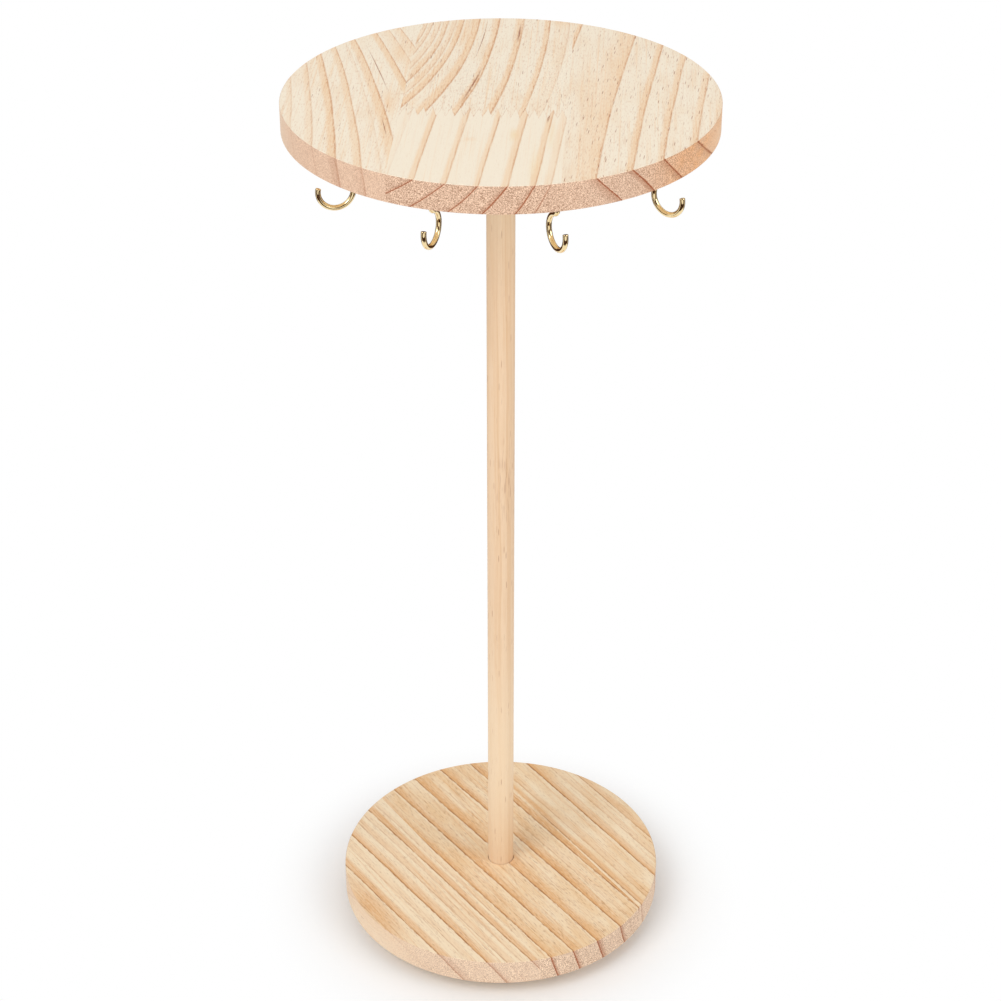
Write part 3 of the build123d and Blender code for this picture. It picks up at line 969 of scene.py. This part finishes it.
class TOWER_OT_fastenings(bpy.types.Operator):
    """Makes the screws, and finishes the hidden insert nut and hanger bolt"""

    bl_idname = "tower.fastenings"
    bl_label = "Screws and bolt"

    def execute(self, context):
        sizes = context.scene.tower_turntable
        steel = plated("zinc_plated_steel", sizes.steel, sizes.zinc_film)
        dress("top_insert_nut", plated("zinc_plated_insert", sizes.steel, sizes.zinc_film))
        dress("hanger_bolt", steel)

        # Each screw's shank as a share of its head, its point as a share of its length, and its recess
        for names, shank, point, recess in (
            (["pole_screw"], 0.5, 0.105, 1.3),
            (nodes_named("ring_screw"), 3.0 / 5.6, 0.2, 1.0),
        ):
            for name in names:
                low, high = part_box(name)
                seat = ((low.x + high.x) / 2, (low.y + high.y) / 2, low.z)
                head, long = (high.x - low.x) / 2, high.z - low.z
                bm = screw_shape(seat, head * shank, head, long, long * point, sizes.recess_width * recess)
                piece(bm, "cross_" + name, steel, TOWER, name)
        return {"FINISHED"}


BALLS = 12
RING_EDGE = 0.15 * MM


class TOWER_OT_turntable(bpy.types.Operator):
    """Makes the bearing ring: the inner ring, the outer ring, the cage and the balls"""

    bl_idname = "tower.turntable"
    bl_label = "Turntable ring"

    def execute(self, context):
        sizes = context.scene.tower_turntable
        aluminium = turned_metal("turned_aluminium", sizes.aluminium)
        for node, body in (("turntable_inner_ring", TOWER), ("turntable_outer_ring", STAND)):
            bm = merged_copy(node)
            ring = piece(bm, "satin_" + node, aluminium, body, node, crease=35.0)
            soften(ring, RING_EDGE)
        nylon = moulded("moulded_nylon", sizes.nylon, 0.42, 0.55, 5.0)
        cage = merged_copy("ball_cage")
        piece(cage, "moulded_ball_cage", nylon, CARRIER, "ball_cage", crease=35.0)

        # The balls of the solids have eight flats, so the box round them is a little narrower than the balls
        low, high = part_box("bearing_balls")
        radius = sizes.ball_diameter / 2
        circle = (high.x - low.x) / 2 - radius * math.cos(math.pi / 8)
        bm = bmesh.new()
        for index in range(BALLS):
            angle = math.tau * index / BALLS
            place = Vector((circle * math.cos(angle), circle * math.sin(angle), (low.z + high.z) / 2))
            bmesh.ops.create_uvsphere(
                bm, u_segments=32, v_segments=20, radius=radius, matrix=Matrix.Translation(place)
            )
        steel = polished("polished_balls", sizes.ball_steel, 0.06, 0.12)
        piece(bm, "round_bearing_balls", steel, CARRIER, "bearing_balls")
        return {"FINISHED"}


class TOWER_OT_pads(bpy.types.Operator):
    """Makes the rubber pads under the outer ring"""

    bl_idname = "tower.pads"
    bl_label = "Rubber pads"

    def execute(self, context):
        sizes = context.scene.tower_turntable
        rubber = moulded("pad_rubber", sizes.rubber, 0.7, 0.85, 3.0)
        for node in nodes_named("rubber_pad"):
            low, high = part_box(node)
            middle = (low + high) / 2
            radius = (high.x - low.x) / 2
            bm = bmesh.new()
            bmesh.ops.create_cone(
                bm, cap_ends=True, segments=32, radius1=radius, radius2=radius, depth=high.z - low.z,
                matrix=Matrix.Translation(middle),
            )
            corners = [edge for edge in bm.edges if edge.calc_face_angle(0.0) > math.radians(60)]
            bmesh.ops.bevel(
                bm, geom=corners, offset=sizes.pad_edge, segments=3, profile=0.5, affect="EDGES", material=-1
            )
            piece(bm, "round_" + node, rubber, STAND, node)
        return {"FINISHED"}


# The camera's place is worked out from the edges of both discs in the photograph
EYE = (0.012746, -1.024147, 0.867997 + BASE_LOW.z)

# Name, place and width of each lamp
KEY_LAMP = ("key_lamp", (-1.3, -1.5, 2.1), 1.6)
FILL_LAMP = ("fill_lamp", (1.7, -1.1, 1.5), 1.4)

FLOOR_HALF = 4.0

# The floor turns plain white between these distances from the pole, in millimetres
WHITE_STARTS, WHITE_FROM = 80.0, 135.0
WHITE = (1.0, 1.0, 1.0, 1.0)

# Each card's bearing from the front in degrees, then its way from the pole, width, foot and top in metres
CARDS = (
    (0, 1.4, 1.4, 0.45, 1.7), (0, 0.38, 0.6, 0.01, 0.28),
    (58, 0.5, 0.38, 0.01, 0.5), (-50, 0.5, 0.38, 0.01, 0.5),
    (108, 0.5, 0.26, 0.01, 0.5), (-108, 0.5, 0.26, 0.01, 0.5),
    (136, 0.5, 0.26, 0.01, 0.5), (-136, 0.5, 0.26, 0.01, 0.5),
    (165, 0.5, 0.28, 0.01, 0.5), (-165, 0.5, 0.28, 0.01, 0.5),
)


class TOWER_OT_stage(bpy.types.Operator):
    """Sets the tower on a pale floor in soft light, with a camera at the front"""

    bl_idname = "tower.stage"
    bl_label = "Stage"

    def execute(self, context):
        scene = context.scene
        settings = scene.tower_stage
        self.lay_floor(settings)
        self.light_sky(scene, settings)
        self.hang_lamp(*KEY_LAMP, settings.key)
        self.hang_lamp(*FILL_LAMP, settings.fill)
        cloth = self.card_cloth(settings)
        for card in CARDS:
            self.stand_card(cloth, *card)

        camera = bpy.data.cameras.new("camera")
        camera.sensor_width = 36.0
        camera.lens = settings.lens
        eye = added("camera", camera)
        eye.location = EYE
        eye.rotation_euler = (math.pi / 2 - settings.tilt, 0.0, settings.turn)
        scene.camera = eye
        scene.view_settings.view_transform = "Standard"
        return {"FINISHED"}

    def lay_floor(self, settings):
        """A wide floor that keeps the shadow near the tower and turns plain white further out."""
        bm = bmesh.new()
        bmesh.ops.create_grid(bm, x_segments=1, y_segments=1, size=FLOOR_HALF)
        finish = Finish("pale_floor")
        grain = finish.grain(0.02, 0.02, 1.0, 2.0)
        pale = finish.shade(solid(settings.floor), 0.995 + grain * 0.01)
        paper = finish.node("ShaderNodeBsdfDiffuse", {"Color": pale}).outputs[0]
        white = finish.node("ShaderNodeEmission", {"Color": WHITE, "Strength": 1.0}).outputs[0]
        far = finish.rise(finish.from_axis(), WHITE_STARTS, WHITE_FROM)
        blend = finish.node("ShaderNodeMixShader", {0: far * finish.looked_at(), 1: paper, 2: white})
        finish.node("ShaderNodeOutputMaterial", {"Surface": blend.outputs[0]})
        floor = placed(bm, "floor", finish.material)

    def card_cloth(self, settings):
        """Dark brown cloth."""
        finish = Finish("dark_card_cloth")
        weave = finish.grain(0.4, 0.4, 0.4, 2.0)
        cloth = finish.shade(solid(settings.card), 0.8 + weave * 0.4)
        return finish.surface(base_color=cloth, roughness=0.9)

    def stand_card(self, cloth, bearing, away, width, low, high):
        """A dark upright card, as in a studio, that shows only as a streak in the polished metal."""
        bm = bmesh.new()
        bmesh.ops.create_grid(bm, x_segments=1, y_segments=1, size=0.5)
        bmesh.ops.scale(bm, verts=bm.verts, vec=(width, high - low, 1.0))
        upright = Matrix.Translation((0.0, -away, (low + high) / 2)) @ Matrix.Rotation(math.pi / 2, 4, "X")
        turn = Matrix.Rotation(math.radians(bearing), 4, "Z")
        bmesh.ops.transform(bm, matrix=turn @ upright, verts=bm.verts)
        card = placed(bm, "card", cloth)
        card.visible_camera = card.visible_diffuse = card.visible_shadow = card.visible_transmission = False

    def light_sky(self, scene, settings):
        """Even light from all round, seen as white by the camera and in reflections."""
        scene.world = bpy.data.worlds.new("white_studio")
        sky = NodeTree(scene.world)
        even, white = (
            sky.node("ShaderNodeBackground", {"Color": WHITE, "Strength": strength}).outputs[0]
            for strength in (settings.sky, 1.0)
        )
        blend = sky.node("ShaderNodeMixShader", {0: sky.looked_at(), 1: even, 2: white})
        sky.node("ShaderNodeOutputWorld", {"Surface": blend.outputs[0]})

    def hang_lamp(self, name, place, size, power):
        """A large square lamp that faces the middle of the tower."""
        lamp = bpy.data.lights.new(name, "AREA")
        lamp.size = size
        lamp.energy = power
        hung = added(name, lamp)
        hung.location = place
        aim = Vector((0.0, 0.0, TOP_HIGH.z / 2)) - Vector(place)
        hung.rotation_euler = aim.to_track_quat("-Z", "Y").to_euler()


STEPS = (
    TOWER_OT_boards, TOWER_OT_pole, TOWER_OT_hooks, TOWER_OT_fastenings, TOWER_OT_turntable, TOWER_OT_pads,
    TOWER_OT_stage,
)


class TOWER_PT_panel(bpy.types.Panel):
    """Sizes and colours of the tower, and the steps that make it"""

    bl_label = "Jewelry Tower"
    bl_space_type = "VIEW_3D"
    bl_region_type = "UI"
    bl_category = "Tower"

    def draw(self, context):
        """Lists every size and colour, then a button for each step."""
        for attribute, _ in SETTINGS:
            box = self.layout.box()
            group = getattr(context.scene, attribute)
            for name in group.bl_rna.properties.keys():
                if name not in ("rna_type", "name"):
                    box.prop(group, name)
        for step in STEPS:
            self.layout.operator(step.bl_idname)


SETTINGS = (
    ("tower_pine", TowerPine), ("tower_hooks", TowerHooks), ("tower_turntable", TowerTurntable),
    ("tower_stage", TowerStage),
)


def register():
    """Adds the settings, the steps and the panel."""
    for attribute, group in SETTINGS:
        bpy.utils.register_class(group)
        setattr(bpy.types.Scene, attribute, bpy.props.PointerProperty(type=group))
    for step in STEPS:
        bpy.utils.register_class(step)
    bpy.utils.register_class(TOWER_PT_panel)


def unregister():
    """Takes them away again, in the other order."""
    bpy.utils.unregister_class(TOWER_PT_panel)
    for step in reversed(STEPS):
        bpy.utils.unregister_class(step)
    for attribute, group in reversed(SETTINGS):
        delattr(bpy.types.Scene, attribute)
        bpy.utils.unregister_class(group)


def main():
    """Makes every piece and the stage."""
    register()
    for step in STEPS:
        area, action = step.bl_idname.split(".")
        getattr(getattr(bpy.ops, area), action)()
    bpy.context.view_layer.update()


if __name__ == "__main__":
    main()
